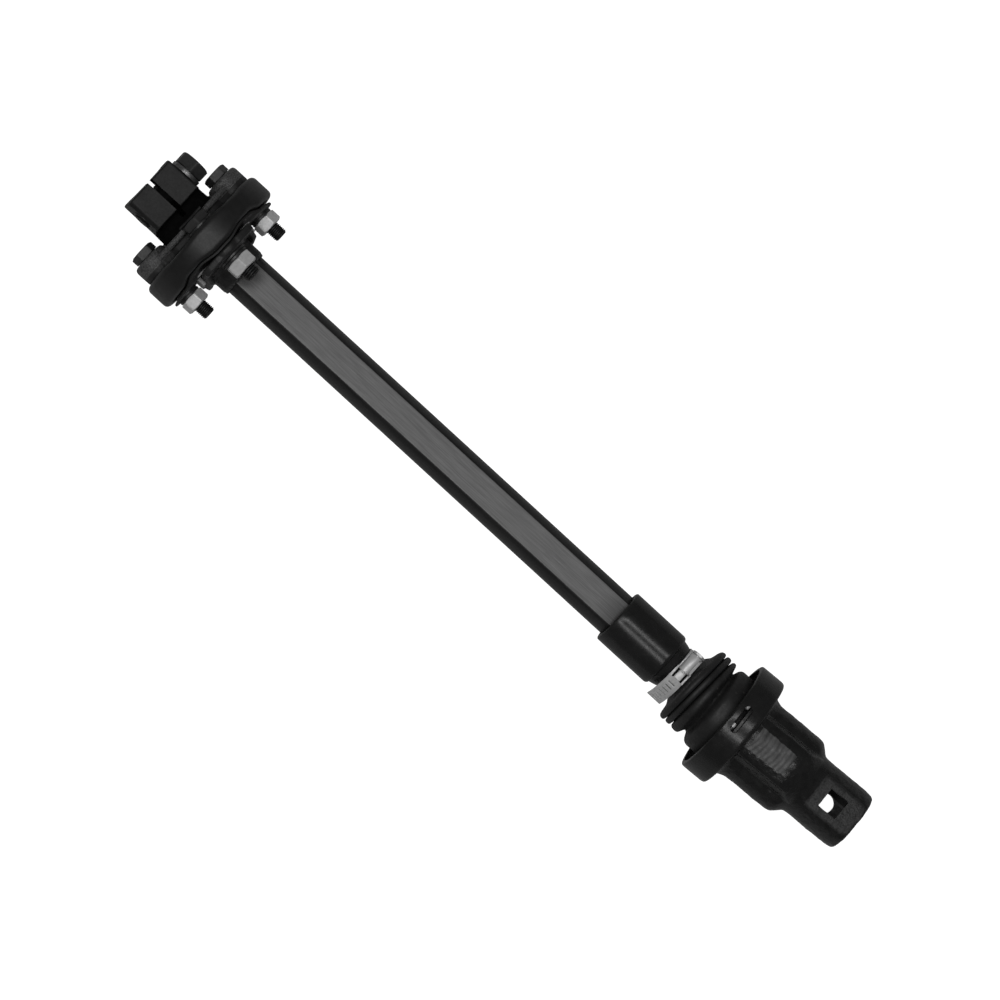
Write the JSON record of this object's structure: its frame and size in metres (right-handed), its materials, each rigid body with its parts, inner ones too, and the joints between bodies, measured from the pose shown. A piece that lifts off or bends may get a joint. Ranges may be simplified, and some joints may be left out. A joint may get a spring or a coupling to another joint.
{
  "type": "universal joint shaft",
  "caption": "Steering intermediate shaft: split clamp and flexible disc coupling, double-D telescoping tube, and a booted pot-type universal joint with a bolted stub.",
  "frame": {"origin": "centre of the gear clamp's bore at its mouth", "axes": "+X along the shaft towards the universal joint; +Z the way the pinch slot, the tube's flat and the square hole face; +Y the way the pinch bolt's head faces"},
  "size_m": [0.5094, 0.0826, 0.0826],
  "materials": {
    "cast_black": "grainy as-forged surface under thin black coating",
    "forged_black": "black coated forging",
    "forged_black_gloss": "semi-gloss black coated forging with one bare machined flat",
    "satin_black": "satin black",
    "tube_steel": "satin black round sides, bare brushed flats",
    "black_fastener": "black oxide",
    "dark_steel": "dark phosphate",
    "zinc_nut": "bright zinc",
    "zinc_plate": "dull zinc",
    "ground_steel": "ground",
    "stainless": "bright stainless strip",
    "stainless_screw": "machined stainless",
    "spring_wire": "bright wire",
    "bronze": "machined bearing bronze",
    "seat_plastic": "natural nylon",
    "disc_rubber": "moulded rubber",
    "disc_fabric": "rubberised fabric ply",
    "boot_rubber": "soft moulded rubber, slightly dusty"
  },
  "bodies": {
    "gear_side": {"coupling_flange": "cast_black", "pinch_bolt": "black_fastener", "pinch_lock_washer": "dark_steel", "flange_bolts": "black_fastener", "flange_bolt_sleeves": "dark_steel", "flange_bolt_washers": "dark_steel", "flange_bolt_nuts": "zinc_nut"},
    "disc": {"coupling_disc": "disc_rubber", "disc_backing_layer": "disc_fabric"},
    "tube": {"shaft_flange": "forged_black", "stop_plate": "zinc_plate", "shaft_bolts": "black_fastener", "shaft_bolt_washers": "dark_steel", "shaft_bolt_nuts": "zinc_nut", "steering_tube": "tube_steel"},
    "joint_shaft": {"slip_collar": "satin_black", "inner_shaft": "ground_steel", "cross_pin": "ground_steel", "clamp_band": "stainless", "clamp_housing": "stainless", "clamp_screw": "stainless_screw", "boot": "boot_rubber"},
    "bearing_blocks": {"bearing_block_left": "bronze", "bearing_block_right": "bronze"},
    "seat": {"thrust_seat": "seat_plastic"},
    "housing": {"pot_housing": "forged_black_gloss", "boot_retainer": "dark_steel", "snap_ring": "spring_wire", "centering_spring": "spring_wire"}
  },
  "joints": [
    {"name": "rag_flex_y", "type": "hinge", "parent": "gear_side", "child": "disc", "pos_m": [0.0462, 0, 0], "axis": [0, 1, 0], "range_deg": [-3, 3], "stiffness_Nm_per_rad": 160, "deforming": ["coupling_disc"]},
    {"name": "rag_flex_z", "type": "hinge", "parent": "disc", "child": "tube", "pos_m": [0.0462, 0, 0], "axis": [0, 0, 1], "range_deg": [-3, 3], "stiffness_Nm_per_rad": 160, "deforming": ["disc_backing_layer"]},
    {"name": "telescope", "type": "slide", "parent": "tube", "child": "joint_shaft", "axis": [1, 0, 0], "range_m": [-0.022, 0.006]},
    {"name": "pin_swing", "type": "hinge", "parent": "joint_shaft", "child": "bearing_blocks", "pos_m": [0.4444, 0, 0], "axis": [0, 1, 0], "range_deg": [-15, 15], "deforming": ["boot"]},
    {"name": "block_tilt", "type": "hinge", "parent": "bearing_blocks", "child": "seat", "pos_m": [0.4444, 0, 0], "axis": [0, 0, 1], "range_deg": [-17.9, 12.1]},
    {"name": "plunge", "type": "slide", "parent": "seat", "child": "housing", "axis": [0.9987, 0.0506, 0], "range_m": [-0.006, 0.006], "stiffness_N_per_m": 2000, "deforming": ["centering_spring"]}
  ]
}
